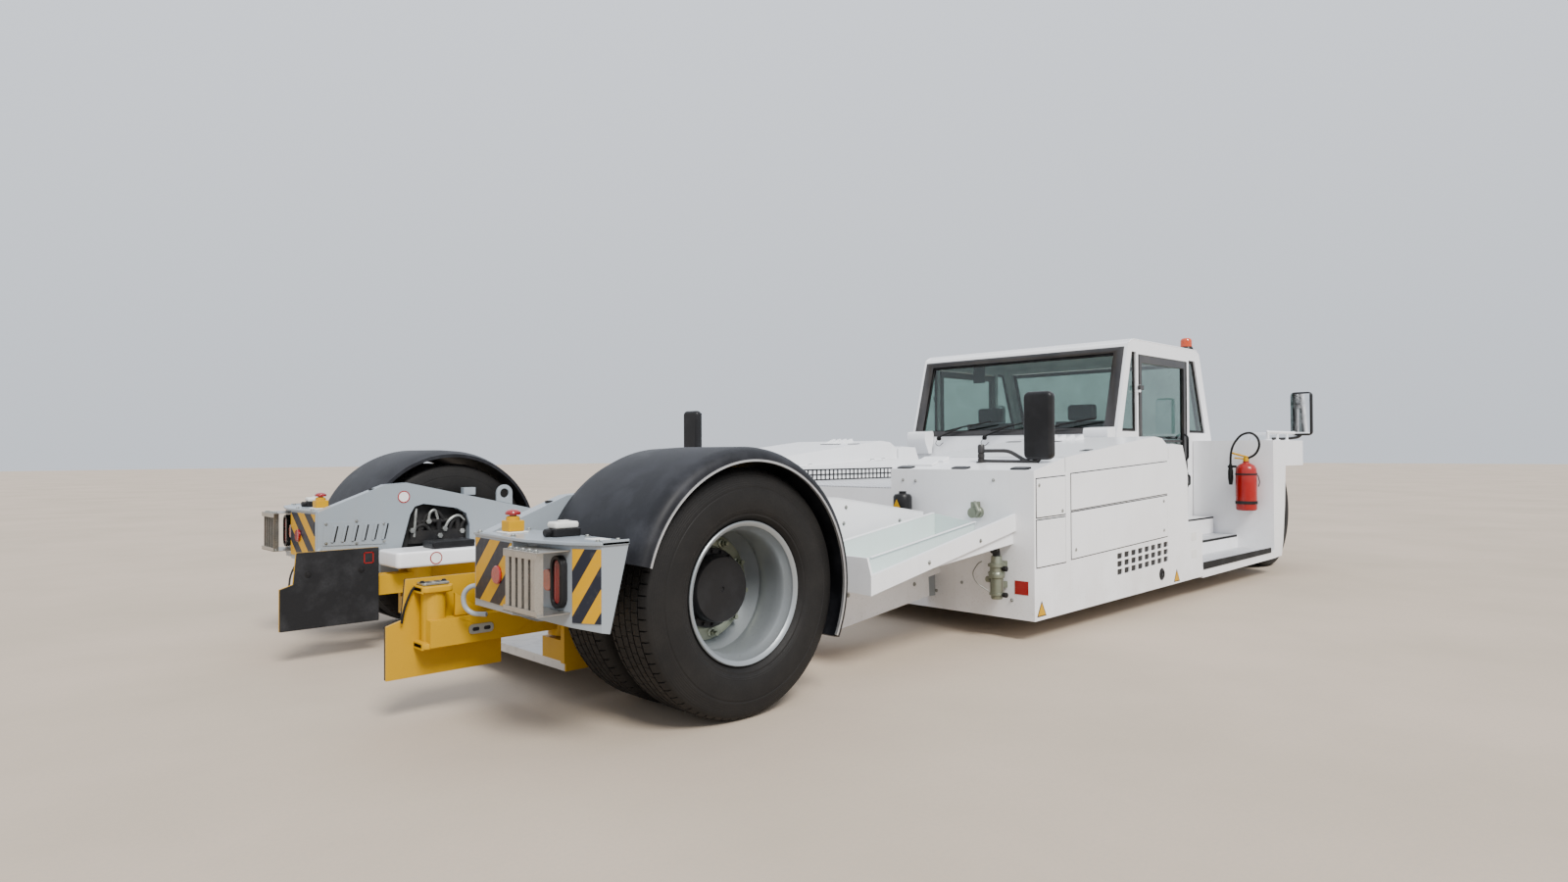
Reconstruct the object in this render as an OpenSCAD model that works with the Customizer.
// Aircraft pushback tractor of the towbarless kind: a low front body with the cab, two arms reaching back
// past the rear wheels, and between them a lifting cradle whose two gates close behind a nose wheel.
// +X points to the cab end, +Y to the left side, +Z up. The origin is on the ground under the middle.
// Lengths below are measured from the rear axle, and station() carries them to the origin.

/* [Wheels] */
// Distance between the rear and the front axle
wheelbase = 6850; // [6650:10:6900]
// Outer radius of every tyre
tyre_r = 520; // [500:1:525]
// Width of one tyre
tyre_w = 300; // [270:1:305]
// Bead seat radius of every rim
rim_r = 286; // [270:1:295]
// Distance between the middles of twin tyres
twin_pitch = 340; // [330:1:350]
// Outer face of the outer rear tyre, from the middle of the tractor
rear_out_y = 1720; // [1700:1:1730]
// Middle of each front tyre, from the middle of the tractor
front_y = 1380; // [1360:1:1385]
// Kingpin of each front wheel, from the middle of the tractor
king_y = 1200; // [1180:1:1205]
// Radius of each rear stub axle
stub_r = 95; // [80:1:110]
// Radius of each front spindle
spindle_r = 40; // [34:1:46]
// Radius of each kingpin
king_r = 30; // [24:1:34]

/* [Arms] */
// Thickness of each side arm
arm_t = 70; // [60:1:75]
// Space between an arm and the inner tyre
arm_gap = 30; // [25:1:40]
// Depth of the pocket in each arm's inner side
pocket_d = 58; // [40:1:60]
// Rear end of the arms, behind the axle
arm_rear = 830; // [800:1:840]
// Height of the top of the rear boxes
box_top = 787; // [770:1:800]
// Thickness of a rear box's lid plate
lid_t = 12; // [8:1:16]

/* [Fenders] */
// Clearance between a rear tyre's tread and the fender over it
fender_gap = 32; // [28:1:45]
// Thickness of the fender skin
fender_t = 14; // [10:1:18]
// Depth of the fender's outer lip
lip_h = 24; // [18:1:30]

/* [Front body] */
// Half of the body's width
body_y = 1750; // [1745:1:1770]
// Rear face of the front body
body_x = 2165; // [2120:5:2200]
// Wall thickness of the body
wall = 30; // [20:1:40]
// Inner edge of each side body
side_in = 700; // [660:5:720]
// Clearance under the body at its rear face
under_z = 122; // [110:1:140]
// Height of the chequer plate deck
deck_z = 900; // [860:5:920]
// Height of the lower step
step_z = 225; // [215:1:240]
// Height of the upper step
upper_step_z = 345; // [320:1:370]
// Rear wall of the front block
block_x = 6180; // [6160:5:6200]
// Height of the front block
block_top = 1190; // [1170:5:1210]
// Front end of the nose
nose_x = 7480; // [7450:5:7600]

/* [Cab] */
// Half of the cab's width
cab_y = 1050; // [1030:1:1055]
// Wall thickness of the cab
cab_wall = 45; // [35:1:50]
// Height of the roof
roof_z = 2050; // [2000:5:2100]
// Height of the sills of the cab's windows
sill_z = 1250; // [1235:1:1280]
// Height of the cab floor
floor_z = 440; // [420:1:460]
// Thickness of the window panes
pane_t = 6; // [4:1:8]

/* [Cradle] */
// Distance of the lift pivot ahead of the rear axle
lift_x = 1200; // [1150:5:1300]
// Height of the lift pivot
lift_z = 300; // [290:1:320]
// Radius of the lift pins
lift_r = 40; // [30:1:45]
// Distance of the gate pivots behind the rear axle
gate_x = 330; // [320:1:345]
// Gate pivots, from the middle of the tractor
gate_y = 800; // [795:1:806]
// Radius of the gate pins
gate_r = 35; // [28:1:40]

/* [Hidden] */
$fn = 48;
run = 0.05;
gap = 6;
seat = 0.3;

// Ends of the outline, and the station of the origin between them
gate_tip = 1095;
mirror_x = 7250;
mirror_d = 110;
mid_x = (nose_x - gate_tip) / 2;

// Levels and lines that several pieces share
fender_r = tyre_r + fender_gap;
twin_out = rear_out_y - tyre_w / 2;
twin_in = twin_out - twin_pitch;
twin_mid = (twin_out + twin_in) / 2;
arm_out = twin_in - tyre_w / 2 - arm_gap;
arm_in = arm_out - arm_t;
white = "white";
grey = "lightslategray";

module station() {
    translate([-mid_x, 0, 0]) children();
}

module on_side(s) {
    if (s > 0) children();
    else mirror([0, 1, 0]) children();
}

module placed(s) {
    station() on_side(s) children();
}

module both() {
    for (s = [1, -1]) placed(s) children();
}

// An outline in X and Z, made thick from y to y + t
module slab_y(y, t) {
    translate([0, y + t, 0]) rotate([90, 0, 0]) linear_extrude(t) children();
}

// An outline in Y and Z, made thick from x to x + t
module slab_x(x, t) {
    translate([x, 0, 0]) rotate([90, 0, 90]) linear_extrude(t) children();
}

// A revolved outline of radius and y, turned to spin about Y
module spun_y() {
    rotate([-90, 0, 0]) rotate_extrude($fn = 72) children();
}

module round_rect(w, h, r) {
    translate([r, 0]) square([w - 2 * r, h]);
    translate([0, r]) square([w, h - 2 * r]);
    for (x = [r, w - r], y = [r, h - r]) translate([x, y]) circle(r);
}

module rod_between(a, b, r) {
    d = b - a;
    translate(a) rotate([0, acos(d.z / norm(d)), atan2(d.y, d.x)]) cylinder(r = r, h = norm(d));
}

module bent_rod(points, r) {
    for (i = [0 : len(points) - 2]) rod_between(points[i], points[i + 1], r);
    for (i = [1 : len(points) - 2]) translate(points[i]) sphere(r + 2);
}

// Side arms
arm_top = [[-arm_rear, box_top - lid_t], [-456, 921], [-330, 930], [532, 730], [body_x, 560]];
arm_low = [[body_x, 200], [700, 230], [-200, 360], [-600, 400], [-arm_rear, 500]];
pocket = [[-366, 533], [-310, 740], [-283, 785], [-230, 800], [-20, 765], [40, 730], [62, 660], [62, 560]];

module louvre_slots() {
    for (i = [0 : 5]) translate([-770 + i * 56, 0]) rotate(-12) round_rect(16, 92, 7);
}

module arm() {
    difference() {
        union() {
            slab_y(arm_in, arm_t) polygon(concat(arm_top, arm_low));
            translate([0, arm_out - 1, tyre_r]) rotate([-90, 0, 0]) cylinder(r = stub_r, h = twin_mid + 90 - arm_out);
            translate([lift_x, arm_in + 1, lift_z]) rotate([90, 0, 0]) cylinder(r = lift_r, h = 230);
        }
        slab_y(arm_in - 1, pocket_d + 1) polygon(pocket);
        translate([0, 0, 606]) slab_y(arm_in - 1, 13) louvre_slots();
    }
}

module arms() {
    color(grey) both() arm();
}

module arm_fittings() {
    color("dimgray") both() {
        translate([-300, arm_in + 20, 560]) cube([330, pocket_d - 20, 75]);
        for (x = [-240, -120, 0]) translate([x, arm_in + 40, 635]) cylinder(r = 16, h = 70);
        translate([-260, arm_in + 40, 690]) rotate([0, 90, 0]) cylinder(r = 14, h = 250);
    }
}

// Rear boxes: plan outline from the inner rear corner round the outside, with a lamp bay between two faces
box_front = 628;
box_y = body_y + 10;
bay_x = -800;
inner_face = [[-837, arm_in], [-862, 1340]];
outer_face = [[bay_x, 1655], [bay_x + 59, box_y]];
box_plan = concat(inner_face, [[bay_x, 1345]], outer_face, [[-box_front, box_y], [-box_front, arm_in]]);
lid_plan = concat([[-843, arm_in], [-868, 1340], [-866, 1440], [-814, 1660], [bay_x + 53, box_y + 6]],
                  [[-box_front, box_y + 6], [-box_front, arm_in]]);

module rear_box() {
    intersection() {
        linear_extrude(box_top - lid_t) polygon(box_plan);
        slab_y(arm_in, 900) polygon([[-900, 505], [-785, 478], [-707, 460], [-box_front, 770], [-box_front, 900], [-900, 900]]);
    }
    translate([0, 0, box_top - lid_t]) linear_extrude(lid_t) polygon(lid_plan);
}

module rear_boxes() {
    color(grey) both() difference() {
        rear_box();
        translate([-arm_rear, arm_in - 20, 0]) cube([400, arm_t + 20, 2000]);
    }
}

// Plates for the hazard stripes, on the inner and the outer rear faces of each box
plate_t = 4;
function turn_of(face) = atan2(face[1].y - face[0].y, face[1].x - face[0].x);
module face_plate(face, from, to, z, h) {
    d = face[1] - face[0];
    a = face[0] + from * d;
    translate([a.x, a.y, z]) rotate(turn_of(face)) cube([(to - from) * norm(d), plate_t, h]);
}

module hazard_plates() {
    color("gold") both() {
        face_plate(inner_face, 0.04, 0.98, 520, 245);
        face_plate(outer_face, 0.04, 0.98, 500, 262);
    }
}

guard_x = 936;
module lamp_guards() {
    color("silver") both() {
        for (z = [532, 752]) translate([-guard_x, 1410, z]) cube([guard_x + bay_x, 240, 5]);
        for (i = [0 : 5]) translate([-guard_x, 1412 + i * 46, 532]) cube([50, 6, 225]);
    }
}

module lamp_outline(w, h) {
    translate([-w / 2, -h / 2]) round_rect(w, h, w / 2 - 0.5);
}

lamp_y = 1590;
module reflector_at() {
    d = inner_face[1] - inner_face[0];
    a = inner_face[0] + 0.66 * d;
    translate([a.x, a.y, 635]) rotate(turn_of(inner_face)) translate([0, plate_t, 0]) rotate([-90, 0, 0]) children();
}

module tail_lamps() {
    color("red") both() {
        translate([0, lamp_y, 640]) slab_x(bay_x - 20, 20) lamp_outline(50, 160);
        reflector_at() cylinder(r = 36, h = 12);
    }
}

module lamp_rims() {
    color("black") both() translate([0, lamp_y, 640]) slab_x(bay_x - 26, 26) difference() {
        lamp_outline(78, 190);
        lamp_outline(51, 161);
    }
}

stop_at = [-760, 1150];
socket_at = [-700, 1430];
module stop_boxes() {
    color("gold") both() translate([stop_at.x - 36, stop_at.y - 36, box_top]) {
        linear_extrude(62) round_rect(72, 72, 10);
        translate([16, 16, 62]) linear_extrude(14) round_rect(40, 40, 8);
    }
}

module stop_buttons() {
    color("red") both() translate([stop_at.x, stop_at.y, box_top + 76]) {
        cylinder(r = 12, h = 10);
        translate([0, 0, 10]) cylinder(r1 = 24, r2 = 20, h = 16);
    }
}

module sockets() {
    color("gainsboro") both() translate([socket_at.x - 60, socket_at.y - 40, box_top]) {
        linear_extrude(38) round_rect(120, 80, 12);
        translate([8, 10, 38]) linear_extrude(24) round_rect(100, 60, 14);
    }
}

// Fenders: a ring sector about the wheel, with a lip at its outer edge
fender_low = -26;
fender_high = 164;
fender_in = arm_out;
fender_out = body_y + 10;
module ring_sector(r1, r2, a1, a2) {
    n = 40;
    a = [for (i = [0 : n]) a1 + (a2 - a1) * i / n];
    polygon(concat([for (t = a) r2 * [cos(t), sin(t)]], [for (i = [n : -1 : 0]) r1 * [cos(a[i]), sin(a[i])]]));
}

module fender() {
    translate([-12, 0, tyre_r + 8]) {
        slab_y(fender_in, fender_out - fender_in) ring_sector(fender_r, fender_r + fender_t, fender_low, fender_high);
        slab_y(fender_out - 8, 8) ring_sector(fender_r - lip_h + 12, fender_r + 4, fender_low, fender_high);
    }
}

module fenders() {
    color("dimgray") both() fender();
}

module fender_trims() {
    color("lightgray") both() translate([-12, 0, tyre_r + 8])
        slab_y(fender_out, 5) ring_sector(fender_r - lip_h + 14, fender_r + 8, fender_low, fender_high);
}

// White legs between the rear wheels and the front body, with a tray and its sloping board
leg_rear = 640;
tray_rear = 865;
tray_out = arm_out + 580;
module leg() {
    slab_y(arm_out, 40) polygon([[leg_rear, 160], [1144, 110], [2050, 214], [2042, 330], [body_x, 345], [body_x, 540], [leg_rear + 60, 480]]);
    slab_y(arm_out + 40, 520) polygon([[tray_rear, 453], [body_x, 560], [body_x, 572], [tray_rear, 465]]);
    slab_y(tray_out - 20, 20) polygon([[tray_rear, 403], [body_x, 637], [body_x, 735], [tray_rear, 500]]);
    slab_y(tray_out - 40, 20) polygon([[tray_rear, 440], [body_x, 560], [body_x, 650], [tray_rear, 480]]);
    slab_x(tray_rear, 14)
        polygon([[arm_out + 30, 420], [tray_out, 403], [tray_out, 500], [tray_out - 26, 585], [arm_out + 30, 590]]);
}

module legs() {
    color(white) both() leg();
}

// Side bodies: hollow, open under the hood, with the step well ahead of them
side_top = [[body_x, rear_top(body_x)], [2520, rear_top(2520)], [2520, 975], [3995, 1040], [3995, 1130], [4050, 1150], [4240, 1140],
            [4325, 950], [4330, 530], [4560, 500], [4590, 470]];
hood_profile = [[2530, 975.4 + seat], [2530, 1064], [3760, 1200], [3890, 1188], [3989, 1132], [3989, 1040 + seat]];
// Hood hinges: a barrel on the hood turns on a pin between two lugs of the side body
hood_axis = [2530, side_in + 14, 975.4 + seat];
hood_tilt = atan2(1040 - 975, 3995 - 2520);
hinge_at = [200, 1140];
hinge_w = 100;
lug_w = 40;
barrel_r = 9;
hood_pin_r = 5;
module along_hood_hinge(from, length, r) {
    translate(hood_axis) rotate([0, 90 - hood_tilt, 0]) translate([0, 0, from]) cylinder(r = r, h = length);
}

module hood_lugs() {
    for (d = hinge_at) {
        along_hood_hinge(d - gap - lug_w, lug_w, barrel_r);
        along_hood_hinge(d + hinge_w + gap, lug_w, barrel_r);
        along_hood_hinge(d - gap - 1, hinge_w + 2 * gap + 2, hood_pin_r);
    }
}

function rear_top(x) = 990 + (x - body_x) * 70 / (2520 - body_x);
function low_line(x) = under_z + (x - body_x) * 0.0105;

module side_shell() {
    difference() {
        slab_y(side_in, body_y - side_in)
            polygon(concat(side_top, [[4590, low_line(4590)], [body_x, low_line(body_x)]]));
        translate([4550, 0, floor_z - 30]) cube([200, cab_y + 4, 900]);
        slab_y(side_in + wall, body_y - side_in - 2 * wall)
            polygon([[body_x + wall, low_line(body_x) + wall], [4290, low_line(4290) + wall], [4290, 930], [4200, 1100],
                     [4025, 1100], [3995 + wall, 1010], [3900, 1005], [3900, 1300], [2600, 1300], [2600, 948], [body_x + wall, 940]]);
        for (i = [0 : 7], j = [0 : 2])
            translate([3192 + i * 101, body_y + 1, 290 + j * 52 + i * 3.3]) rotate([90, 0, 0])
                linear_extrude(wall + 2) round_rect(74, 38, 8);
        translate([3869, body_y + 1, 232]) rotate([90, 0, 0]) cylinder(r = 44, h = wall + 2);
        for (d = hinge_at) along_hood_hinge(d - gap, hinge_w + 2 * gap, barrel_r + gap);
    }
}

step_front = block_x;
module step_well() {
    slab_y(cab_y + 4, body_y - cab_y - 4) polygon([[4590, 135], [step_front, 150], [step_front, 175], [4590, 165]]);
    slab_y(body_y - 24, 24) polygon([[4590, 135], [step_front, 150], [step_front, step_z - 4], [4590, step_z - 4]]);
    translate([4590, 1420, 160]) cube([step_front - 4590, 24, upper_step_z - 164]);
    translate([4590, 1420, step_z - 24]) cube([step_front - 4590, body_y - 1420, 20]);
    translate([4590, cab_y + 4, upper_step_z - 24]) cube([step_front - 4590, 1424 - cab_y, 20]);
}

module side_bodies() {
    color(white) both() {
        side_shell();
        hood_lugs();
        step_well();
    }
}

// Cross walls and floor that join the side bodies under the deck
module centre_frame() {
    color(white) station() {
        translate([body_x, -side_in, under_z + 20]) cube([wall, 2 * side_in, deck_z - under_z - 60]);
        translate([body_x + wall, -side_in, under_z + 60]) cube([4520 - body_x - wall, 2 * side_in, 20]);
        translate([4500, -side_in, under_z + 80]) cube([20, 2 * side_in, deck_z - under_z - 120]);
        for (y = [-side_in, side_in - 40]) translate([body_x + wall, y, deck_z - 40 - 30]) cube([4500 - body_x - wall, 40, 30]);
        translate([4520, -side_in, floor_z - 30]) cube([31, 2 * side_in, 30]);
        translate([4550, -cab_y + 60, floor_z - 30]) cube([2070, 2 * cab_y - 120, 30]);
    }
}

module engine() {
    color("dimgray") placed(1) slab_y(900, 620)
        polygon([[2700, low_line(2700) + wall], [3800, low_line(3800) + wall], [3800, 840], [2700, 840]]);
}

module deck() {
    color("silver") station() translate([body_x, -side_in, deck_z - 40]) cube([4520 - body_x, 2 * side_in, 8]);
}

module deck_grilles() {
    color("gray") both() difference() {
        translate([2600, side_in - 6, deck_z - 32]) cube([1300, 6, 94]);
        for (i = [0 : 24], j = [0 : 1]) translate([2620 + i * 51, side_in - 7, deck_z - 22 + j * 42]) cube([39, 8, 32]);
    }
}

// Black intake slots with fins on the inner side of the hoods' fixed rear part
module vent_fins() {
    color("black") both() for (x = [2260, 2380]) translate([x, side_in + 60, 0])
        slab_y(0, 200) polygon([[0, rear_top(x) + seat], [70, rear_top(x + 70) + seat], [70, rear_top(x + 70) + 24], [0, rear_top(x) + 12]]);
}

module step_treads() {
    color("silver") both() {
        translate([4600, 1452, step_z - 4]) cube([step_front - 4610, body_y - 1458, 5]);
        translate([4600, cab_y + 10, upper_step_z - 4]) cube([step_front - 4610, 1430 - cab_y, 5]);
    }
}

// Nose: a shell over the front wheels with cut corners, and a lower middle part
nose_corner = 6990;
nose_plan = [[block_x, body_y], [nose_corner, body_y], [7420, 1180], [nose_x, 900]];
function mirrored(p) = [for (i = [len(p) - 1 : -1 : 0]) [p[i].x, -p[i].y]];
arch_x = 6500;
skirt_z = 960;
cab_front = 6640;
module front_shell() {
    color(white) station() {
        difference() {
            translate([0, 0, skirt_z]) linear_extrude(block_top - skirt_z) polygon(concat(nose_plan, mirrored(nose_plan)));
            translate([0, 0, skirt_z - 1]) linear_extrude(block_top - skirt_z - 24)
                polygon([[block_x + wall, body_y - 20], [nose_corner - 12, body_y - 20], [7402, 1168], [nose_x - 20, 895],
                         [nose_x - 20, -895], [7402, -1168], [nose_corner - 12, -body_y + 20], [block_x + wall, -body_y + 20]]);
            translate([block_x - 1, -cab_y - 5, 0]) cube([cab_front - block_x + 5, 2 * cab_y + 10, 2000]);
        }
        for (s = [1, -1]) on_side(s) {
            slab_y(body_y - 20, 20) polygon([[block_x, 150], [6372, 158], [6420, 300], [6470, 600], [arch_x, skirt_z + 2], [block_x, skirt_z + 2]]);
            translate([block_x, cab_y + 5, 150]) cube([wall, body_y - cab_y - 6, skirt_z - 148]);
        }
        translate([7300, -900, 260]) cube([24, 1800, skirt_z - 258]);
        for (s = [1, -1]) on_side(s) translate([cab_front + 6, 876, eye_high + 60]) cube([7300 - cab_front - 5, 24, skirt_z - eye_high - 58]);
        translate([7300, -900, skirt_z - 2]) cube([nose_x - 7310, 1800, 24]);
    }
}

module bumper() {
    color("black") station() translate([7324, -900, 300]) cube([70, 1800, 220]);
}

// Front towing jaw: two plates with a bore for the tow bar's pin
jaw_x = 7440;
jaw_r = 21;
module tow_jaw() {
    color("dimgray") station() difference() {
        union() {
            translate([7394, -70, 330]) cube([20, 140, 150]);
            for (z = [345, 441]) translate([0, 0, z]) linear_extrude(24) {
                translate([7413, -38]) square([jaw_x - 7413, 76]);
                translate([jaw_x, 0]) circle(38);
            }
        }
        translate([jaw_x, 0, 340]) cylinder(r = jaw_r, h = 130);
    }
}

module headlamps() {
    color("white") both() {
        translate([7324, 560, 640]) rotate([0, 90, 0]) cylinder(r = 75, h = 30);
        translate([7324, 740, 640]) rotate([0, 90, 0]) cylinder(r = 55, h = 26);
    }
}

rail_z = 1262;
module handrails() {
    color(white) both() bent_rod([[6230, 1690, block_top], [6230, 1690, rail_z], [6930, 1690, rail_z], [7290, 1180, rail_z],
        [7290, 1180, block_top]], 14);
}

module extinguishers() {
    color("red") both() {
        translate([block_x - 98, 1556, 568]) cylinder(r = 86, h = 380);
        translate([block_x - 98, 1556, 948]) cylinder(r1 = 86, r2 = 34, h = 44);
        translate([block_x - 98, 1556, 992]) cylinder(r = 22, h = 50);
        for (z = [630, 880]) translate([block_x - 40, 1516, z]) cube([40, 80, 20]);
    }
}

module couplings() {
    color("silver") both() {
        translate([body_x - 60, 1560, 260]) cylinder(r = 42, h = 210);
        translate([body_x - 60, 1560, 470]) cylinder(r = 26, h = 60);
        translate([body_x - 60, 1530, 300]) cube([60, 60, 40]);
        translate([body_x - 60, 1530, 420]) cube([60, 60, 40]);
        translate([body_x - 60, 1420, 700]) rotate([0, 90, 0]) cylinder(r = 34, h = 60);
        translate([body_x - 50, 1400, 720]) cube([50, 40, 90]);
    }
}

module lashing_eye(p, r, bore, t) {
    translate(p) slab_y(-t / 2, t) difference() {
        union() {
            circle(r);
            translate([-r, -r - 20]) square([2 * r, r + 20]);
        }
        circle(bore);
    }
}

eye_x = 300;
eye_z = 846;
module lashing_eyes() {
    color(grey) both() difference() {
        lashing_eye([eye_x, arm_in + 12, eye_z], 55, 30, 20);
        slab_y(arm_in, arm_t) polygon(concat(arm_top, arm_low));
    }
}

// Cab: a hollow shell with every window and both door openings cut
cab_rear_low = 4560;
cab_rear_sill = 4650;
cab_rear_top = 4870;
cab_front_top = 6355;
door_rear = 5055;
door_front = 6065;
door_low = 500;
door_high = roof_z - 125;
cab_side = [[cab_rear_low, floor_z], [cab_rear_sill, sill_z - 10], [cab_rear_top, roof_z - 45], [cab_rear_top + 90, roof_z],
            [cab_front_top - 70, roof_z], [cab_front_top, roof_z - 45], [cab_front, sill_z - 75], [cab_front, floor_z]];
w = cab_wall;
cab_hollow = [[cab_rear_low + w + 10, floor_z + 40], [cab_rear_sill + w, sill_z - 10], [cab_rear_top + w, roof_z - 60],
              [cab_rear_top + 95, roof_z - 45], [cab_front_top - 75, roof_z - 45], [cab_front_top - w, roof_z - 60],
              [cab_front - w, sill_z - 75], [cab_front - w, floor_z + 40]];
aft_light = [[4745, sill_z + 15], [4935, roof_z - 110], [door_rear - 35, roof_z - 110], [door_rear - 35, sill_z + 15]];
fore_light = [[door_front + 45, sill_z + 15], [door_front + 45, roof_z - 110], [6245, roof_z - 110], [6490, sill_z + 15]];
notch_x = 6190;
module cab_shell() {
    color(white) both() hinge_lug();
    color(white) station() difference() {
        slab_y(-cab_y, 2 * cab_y) polygon(cab_side);
        difference() {
            slab_y(-cab_y + w, 2 * (cab_y - w)) polygon(cab_hollow);
            for (s = [1, -1]) on_side(s) translate([notch_x - w, cab_y - 100 - w, 0]) cube([800, 200, sill_z - 70]);
        }
        for (s = [1, -1]) on_side(s) {
            translate([notch_x, cab_y - 100, 0]) cube([800, 200, sill_z - 115]);
            slab_y(cab_y - w - 1, w + 2) polygon(aft_light);
            slab_y(cab_y - w - 1, w + 2) polygon(fore_light);
            translate([door_rear, cab_y - w - 1, door_low]) cube([door_front - door_rear, w + 2, door_high - door_low]);
        }
        translate([cab_rear_low, -960, sill_z + 15]) cube([430, 1920, rear_cut]);
        translate([6250, -960, sill_z - 40]) cube([600, 1920, front_cut]);
    }
}

// Door hinges: a lug with its pin on the cab, and an eye with its strap on the door
hinge_x = door_rear - 14;
hinge_y = cab_y + 17;
hinge_z = [720, 1640];
pin_r = 7;
module hinge_lug() {
    for (z = hinge_z) {
        translate([hinge_x - 11, cab_y - 1, z - 42]) cube([22, hinge_y - cab_y + 1, 20]);
        translate([hinge_x, hinge_y, z - 42]) cylinder(r = 11, h = 20);
        translate([hinge_x, hinge_y, z - 23]) cylinder(r = pin_r, h = 43);
    }
}

module hinge_eye() {
    for (z = hinge_z) difference() {
        union() {
            translate([hinge_x, hinge_y, z - 21.7]) cylinder(r = 11, h = 40);
            translate([hinge_x, hinge_y - 4, z - 21.7]) cube([76, 8, 40]);
            translate([door_rear + gap + 2, cab_y - 1, z - 21.7]) cube([50, hinge_y - cab_y - 2, 40]);
        }
        translate([hinge_x, hinge_y, z - 30]) cylinder(r = pin_r + run, h = 60);
    }
}

// Panes lean with the walls that hold them
rear_lean = atan2(cab_rear_top - cab_rear_sill, roof_z - 45 - sill_z + 10);
front_lean = atan2(cab_front - cab_front_top, roof_z + 30 - sill_z);
rear_cut = roof_z - sill_z - 115;
front_cut = roof_z - sill_z - 65;
pane_h = rear_cut / cos(rear_lean);
front_h = front_cut / cos(front_lean);
module rear_plane() {
    translate([cab_rear_sill + 20 + 25 * tan(rear_lean), 0, sill_z + 15]) rotate([0, rear_lean, 0]) children();
}

module front_plane() {
    translate([cab_front - 26 - 35 * tan(front_lean), 0, sill_z - 40]) rotate([0, -front_lean, 0]) children();
}

module cab_glass() {
    color("skyblue", 0.4) station() {
        rear_plane() translate([0, -925, 35]) cube([pane_t, 1850, pane_h - 80]);
        front_plane() translate([0, -925, 35]) cube([pane_t, 1850, front_h - 80]);
        for (s = [1, -1]) on_side(s) {
            slab_y(cab_y - 26, pane_t) offset(delta = -25) polygon(aft_light);
            slab_y(cab_y - 26, pane_t) offset(delta = -25) polygon(fore_light);
        }
    }
}

module window_rubbers() {
    color("black") station() {
        rear_plane() translate([-6, 0, 0]) difference() {
            translate([0, -960, 7]) cube([18, 1920, pane_h - 14]);
            translate([-1, -925, 35]) cube([20, 1850, pane_h - 80]);
        }
        front_plane() translate([-6, 0, 0]) difference() {
            translate([0, -960, 7]) cube([18, 1920, front_h - 14]);
            translate([-1, -925, 35]) cube([20, 1850, front_h - 80]);
        }
        for (s = [1, -1]) on_side(s) for (light = [aft_light, fore_light]) slab_y(cab_y - 32, 18) difference() {
            offset(delta = -0.5) polygon(light);
            offset(delta = -25) polygon(light);
        }
    }
}

// Inside: a desk with its wheel at the front, and two seats
seat_y = 480;
module cab_fittings() {
    color("dimgray") station() {
        translate([6200, -880, 480]) cube([380, 1760, 430]);
        translate([5600, -200, 480]) cube([600, 400, 380]);
        for (y = [-seat_y, seat_y]) {
            translate([5250, y - 120, 480]) cube([300, 240, 220]);
            translate([5150, y - 240, 700]) cube([480, 480, 110]);
            translate([5100, y - 230, 810]) cube([110, 460, 560]);
        }
        rod_between([6250, seat_y, 880], [6130, seat_y, 1090], 22);
        translate([6130, seat_y, 1090]) rotate([0, -30, 0]) rotate_extrude() translate([200, 0]) circle(14);
        translate([6130, seat_y, 1090]) rotate([0, -30, 0]) {
            cylinder(r = 45, h = 20);
            for (a = [0, 120, 240]) rotate(a) translate([0, -12, -5]) cube([200, 24, 10]);
        }
    }
}

module beacon() {
    color("orange") station() translate([6220, -985, roof_z]) {
        cylinder(r = 62, h = 30);
        translate([0, 0, 30]) cylinder(r = 52, h = 85);
    }
}

// Mirrors: housing on a bent tube, behind the body and beside the nose
rear_mirror = [2350, 1660];
front_mirror_y = 1690;
module mirror_arms() {
    color("black") both() {
        translate([rear_mirror.x, rear_mirror.y - 95, 1050]) linear_extrude(410) round_rect(70, 190, 20);
        translate([rear_mirror.x + 35, 1250, rear_top(rear_mirror.x + 35) - 6]) intersection() {
            cylinder(r = 24, h = 126);
            slab_y(-30, 60) polygon([[-30, 0.1], [30, 12], [30, 126], [-30, 126]]);
        }
        translate([rear_mirror.x + 35, 1250, 1096]) rotate([-90, 0, 0]) cylinder(r = 14, h = 330);
        translate([mirror_x - mirror_d, front_mirror_y - 95, 1240]) linear_extrude(420) round_rect(70, 190, 20);
        translate([mirror_x - mirror_d + 35, 1440, block_top]) cylinder(r = 20, h = 100);
        translate([mirror_x - mirror_d + 35, 1440, block_top + 76]) rotate([-90, 0, 0]) cylinder(r = 14, h = 180);
    }
}

module mirror_faces() {
    color("lightcyan") both() {
        translate([rear_mirror.x + 70, rear_mirror.y - 80, 1070]) cube([3, 160, 370]);
        translate([mirror_x - mirror_d - 3, front_mirror_y - 80, 1260]) cube([3, 160, 380]);
    }
}

// Front axle: a beam with an eye at each kingpin
eye_low = 455;
eye_high = 585;
module front_axle() {
    color("dimgray") placed(1) difference() {
        union() {
            translate([wheelbase - 60, -king_y + 40, eye_low]) cube([120, 2 * king_y - 80, eye_high - eye_low]);
            for (y = [-king_y, king_y]) translate([wheelbase, y, eye_low]) cylinder(r = 62, h = eye_high - eye_low);
            for (y = [-888, 888]) translate([wheelbase - 60, y - 60, eye_high]) cube([120, 120, 60]);
        }
        for (y = [-king_y, king_y]) translate([wheelbase, y, eye_low - 1]) cylinder(r = king_r + run, h = eye_high - eye_low + 2);
    }
}

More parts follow.
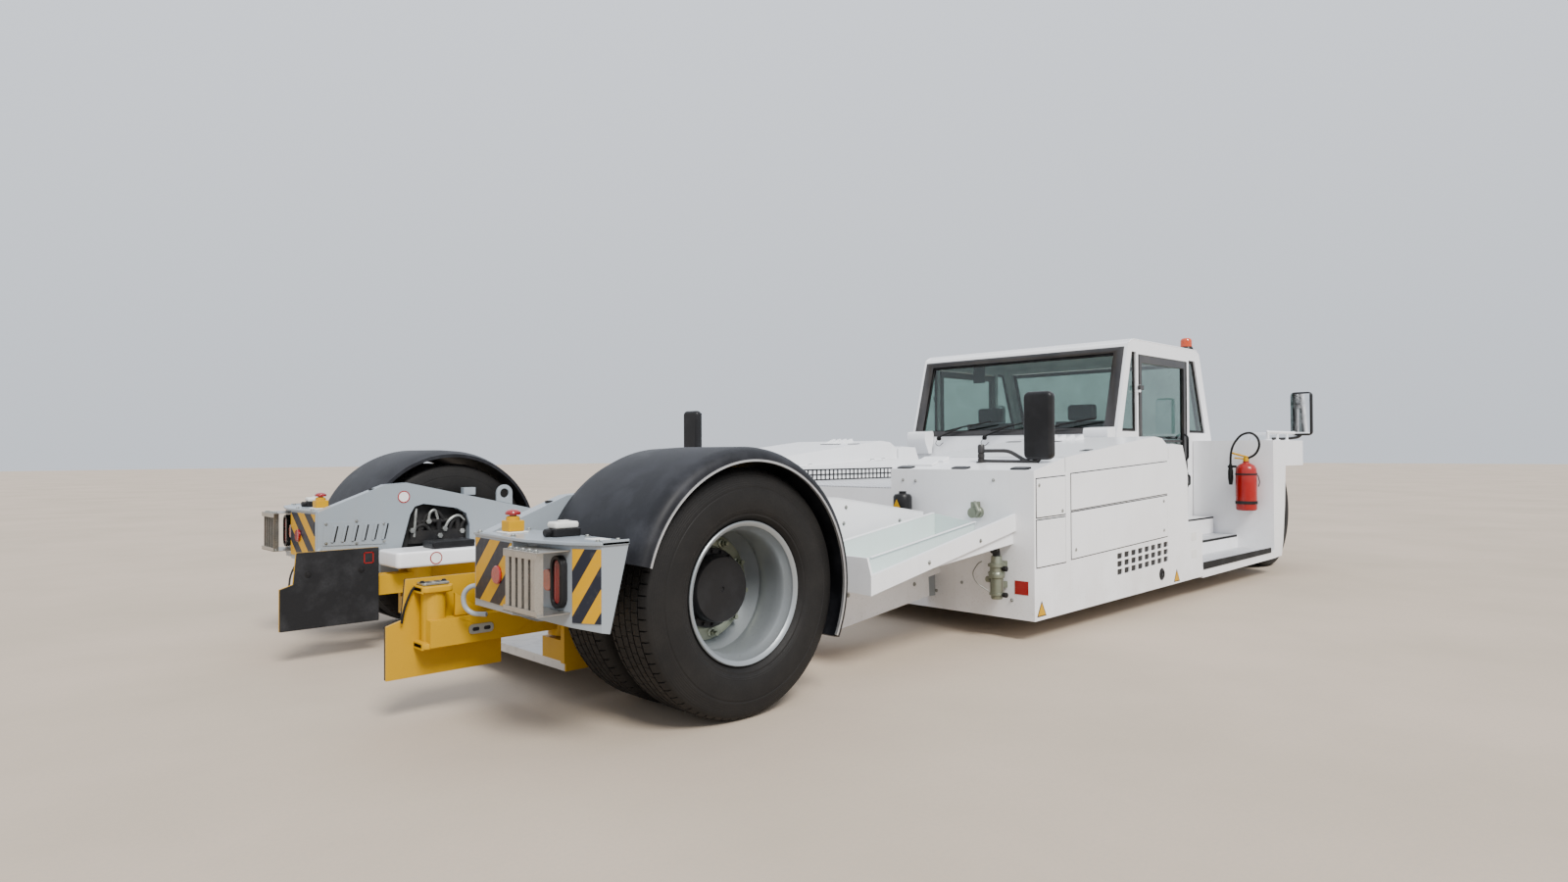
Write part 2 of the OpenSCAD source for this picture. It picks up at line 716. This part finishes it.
module knuckle(s) {
    color("dimgray") placed(s) {
        translate([wheelbase, king_y, eye_low - 40]) cylinder(r = king_r, h = eye_high - eye_low + 80);
        for (z = [eye_low - 40, eye_high + 2]) translate([wheelbase, king_y, z]) {
            cylinder(r = 62, h = 38);
            translate([-50, 0, 0]) cube([100, 100, 38]);
        }
        translate([wheelbase - 50, king_y + 70, eye_low - 40]) cube([100, 40, eye_high - eye_low + 80]);
        translate([wheelbase, king_y + 105, tyre_r]) rotate([-90, 0, 0]) cylinder(r = spindle_r, h = 150);
    }
}

module knuckle_left() { knuckle(1); }
module knuckle_right() { knuckle(-1); }

// Tyres and rims, as outlines of radius and distance from the tyre's middle
module tyre_outline() {
    h = tyre_w / 2;
    polygon([[rim_r + 3, -h + 42], [rim_r + 16, -h + 38], [rim_r + 30, -h + 20], [rim_r + 70, -h + 3], [rim_r + 115, -h], [tyre_r - 60, -h + 7],
             [tyre_r - 22, -h + 18], [tyre_r - 5, -h + 38], [tyre_r, -h + 70], [tyre_r, h - 70], [tyre_r - 5, h - 38],
             [tyre_r - 22, h - 18], [tyre_r - 60, h - 7], [rim_r + 115, h], [rim_r + 70, h - 3], [rim_r + 30, h - 20],
             [rim_r + 16, h - 38], [rim_r + 3, h - 42]]);
}

module barrel_outline() {
    h = tyre_w / 2;
    polygon([[rim_r + 2.5, -h + 40], [rim_r + 13, -h + 34], [rim_r + 13, -h + 28], [rim_r - 8, -h + 28], [rim_r - 10, -h + 50],
             [rim_r - 30, -40], [rim_r - 30, 40], [rim_r - 10, h - 50], [rim_r - 8, h - 28], [rim_r + 13, h - 28],
             [rim_r + 13, h - 34], [rim_r + 2.5, h - 40], [rim_r, h - 52], [rim_r - 20, 36], [rim_r - 20, -36], [rim_r, -h + 52]]);
}

module wheel_at(x, y) {
    translate([x, y, tyre_r]) spun_y() children();
}

module twin_tyres(s) {
    color("black") placed(s) {
        wheel_at(0, twin_out) tyre_outline();
        wheel_at(0, twin_in) tyre_outline();
    }
}

module tyres_left() { twin_tyres(1); }
module tyres_right() { twin_tyres(-1); }

disc_t = 12;
module twin_rims(s) {
    color("silver") placed(s) {
        difference() {
            union() {
                wheel_at(0, twin_out) barrel_outline();
                wheel_at(0, twin_in) barrel_outline();
                wheel_at(0, twin_mid) polygon([[rim_r - 4, 74], [rim_r - 4, 58], [190, 0], [60, 0], [60, disc_t], [180, disc_t]]);
                wheel_at(0, twin_mid) polygon([[rim_r - 4, -74], [rim_r - 4, -58], [190, 0], [60, 0], [60, -disc_t], [180, -disc_t]]);
                wheel_at(0, twin_mid) polygon([[60, -60], [150, -60], [150, 60], [140, 118], [120, 128], [0, 128], [0, 100], [60, 100]]);
                for (a = [0 : 36 : 324]) translate([0, twin_mid, tyre_r]) rotate([0, a, 0])
                    translate([168, disc_t - 1, 0]) rotate([-90, 0, 0]) cylinder(r = 14, h = 32, $fn = 12);
            }
            translate([0, twin_mid - 200, tyre_r]) rotate([-90, 0, 0]) cylinder(r = stub_r + run, h = 300);
        }
    }
}

module rims_left() { twin_rims(1); }
module rims_right() { twin_rims(-1); }

module front_tyre(s) {
    color("black") placed(s) wheel_at(wheelbase, front_y) tyre_outline();
}

module front_tyre_left() { front_tyre(1); }
module front_tyre_right() { front_tyre(-1); }

module front_rim(s) {
    color("silver") placed(s) difference() {
        union() {
            wheel_at(wheelbase, front_y) barrel_outline();
            wheel_at(wheelbase, front_y) polygon([[rim_r - 24, 20], [rim_r - 24, 36], [180, 60], [100, 60], [90, 100], [0, 100],
                [0, -40], [70, -40], [80, 46], [180, 46]]);
            for (a = [0 : 36 : 324]) translate([wheelbase, front_y + 58, tyre_r]) rotate([0, a, 0])
                translate([140, 0, 0]) rotate([-90, 0, 0]) cylinder(r = 14, h = 26, $fn = 12);
        }
        translate([wheelbase, front_y - 60, tyre_r]) rotate([-90, 0, 0]) cylinder(r = spindle_r + run, h = 138);
    }
}

module front_rim_left() { front_rim(1); }
module front_rim_right() { front_rim(-1); }

// Hoods, hinged along their inner edge
module hood(s) {
    color(white) placed(s) difference() {
        union() {
            slab_y(side_in + 14, body_y - side_in - 14) polygon(hood_profile);
            for (d = hinge_at) along_hood_hinge(d, hinge_w, barrel_r);
        }
        for (d = hinge_at) {
            along_hood_hinge(d - 2 * gap - lug_w, lug_w + 2 * gap, barrel_r + gap);
            along_hood_hinge(d + hinge_w, lug_w + 2 * gap, barrel_r + gap);
            along_hood_hinge(d - 1, hinge_w + 2, hood_pin_r + run);
        }
        slab_y(side_in + 34, body_y - side_in - 54) polygon([[2548, 970], [2548, 1046], [3760, 1180], [3886, 1168], [3971, 1120], [3971, 1020]]);
    }
}

module hood_left() { hood(1); }
module hood_right() { hood(-1); }

// Doors, hinged at their rear edge
module door(s) {
    color("black") placed(s) difference() {
        union() {
            translate([door_rear + gap, cab_y - w + 4, door_low + gap])
                cube([door_front - door_rear - 2 * gap, w - 4, door_high - door_low - 2 * gap]);
            hinge_eye();
        }
        translate([door_rear + 70, cab_y - w, door_low + 90]) cube([door_front - door_rear - 140, w + 10, door_high - door_low - 160]);
    }
}

module door_left() { door(1); }
module door_right() { door(-1); }

module door_glass(s) {
    color("skyblue", 0.4) placed(s) translate([door_rear + 70, cab_y - 24, door_low + 90])
        cube([door_front - door_rear - 140, pane_t, door_high - door_low - 160]);
}

module door_glass_left() { door_glass(1); }
module door_glass_right() { door_glass(-1); }

// Cradle: two beams on the lift pins, joined ahead of the wheel shelf
beam_in = 740;
beam_out = arm_in - 50;
shelf_z = 170;
stop_x = 440;
cover_low = 460;
cover_top = 550;
module cradle_side() {
    difference() {
        union() {
            translate([-gate_x - 70, beam_in, 170]) cube([lift_x + gate_x - 30, beam_out - beam_in, 100]);
            translate([lift_x - 120, beam_in, 170]) cube([120, beam_out - beam_in, 190]);
            translate([lift_x, beam_in, lift_z]) rotate([-90, 0, 0]) cylinder(r = 90, h = beam_out - beam_in);
            translate([-gate_x - 70, beam_out - 30, 269]) cube([900, 30, cover_low - 269]);
            translate([-gate_x, gate_y, 269]) cylinder(r = gate_r, h = cover_low - 269);
        }
        translate([lift_x, beam_in - 1, lift_z]) rotate([-90, 0, 0]) cylinder(r = lift_r + run, h = beam_out - beam_in + 2);
    }
}

module cradle_frame() {
    color("gold") station() {
        for (s = [1, -1]) on_side(s) cradle_side();
        translate([900, -beam_in - 1, 170]) cube([160, 2 * beam_in + 2, 100]);
        translate([-380, -beam_out + 20, shelf_z - 40]) cube([stop_x + 380, 2 * beam_out - 40, 40]);
        translate([stop_x - 1, -beam_out + 20, shelf_z - 40]) cube([81, 2 * beam_out - 40, 30]);
    }
}

module cradle_covers() {
    color(white) both() translate([0, 0, cover_low]) linear_extrude(cover_top - cover_low)
        translate([-520, 640]) round_rect(1000, beam_out - 640, 30);
}

module cradle_stop() {
    color("black") station() translate([stop_x, -600, shelf_z - 10]) cube([60, 1200, 490]);
}

// Gates: an arm on its pin, with a plate and its black pad at the rear
hub_r = 66;
plate_in = gate_y - 85;
plate_front = 595;
plate_low = 180;
module gate(s) {
    color("gold") placed(s) difference() {
        union() {
            translate([-gate_x, gate_y, 280]) cylinder(r = hub_r, h = 170);
            translate([-960, gate_y - 40, 310]) cube([960 - gate_x, 80, 110]);
            translate([-920, gate_y - 30, 300]) cylinder(r = 48, h = 260);
            for (z = [300, 530]) translate([-985, plate_in + 11, z]) cube([130, 90, 30]);
            slab_y(plate_in, 12) polygon([[-gate_tip, plate_low], [-plate_front, plate_low], [-plate_front, 585], [-1015, 585], [-1030, 420], [-gate_tip, 400]]);
        }
        translate([-gate_x, gate_y, 279]) cylinder(r = gate_r + run, h = 172);
    }
}

module gate_left() { gate(1); }
module gate_right() { gate(-1); }

module pad(s) {
    color("black") placed(s) slab_y(plate_in - 14, 14)
        polygon([[-gate_tip, plate_low], [-plate_front, plate_low], [-plate_front, 585], [-1015, 585], [-1030, 420], [-gate_tip, 400]]);
}

module pad_left() { pad(1); }
module pad_right() { pad(-1); }

arms();
arm_fittings();
rear_boxes();
hazard_plates();
lamp_guards();
tail_lamps();
lamp_rims();
stop_boxes();
stop_buttons();
sockets();
fenders();
fender_trims();
legs();
side_bodies();
centre_frame();
engine();
deck();
deck_grilles();
vent_fins();
step_treads();
front_shell();
bumper();
tow_jaw();
headlamps();
handrails();
extinguishers();
couplings();
lashing_eyes();
cab_shell();
cab_glass();
window_rubbers();
cab_fittings();
beacon();
mirror_arms();
mirror_faces();
front_axle();
hood_left();
hood_right();
door_left();
door_right();
door_glass_left();
door_glass_right();
cradle_frame();
cradle_covers();
cradle_stop();
gate_left();
gate_right();
pad_left();
pad_right();
tyres_left();
tyres_right();
rims_left();
rims_right();
knuckle_left();
knuckle_right();
front_tyre_left();
front_tyre_right();
front_rim_left();
front_rim_right();
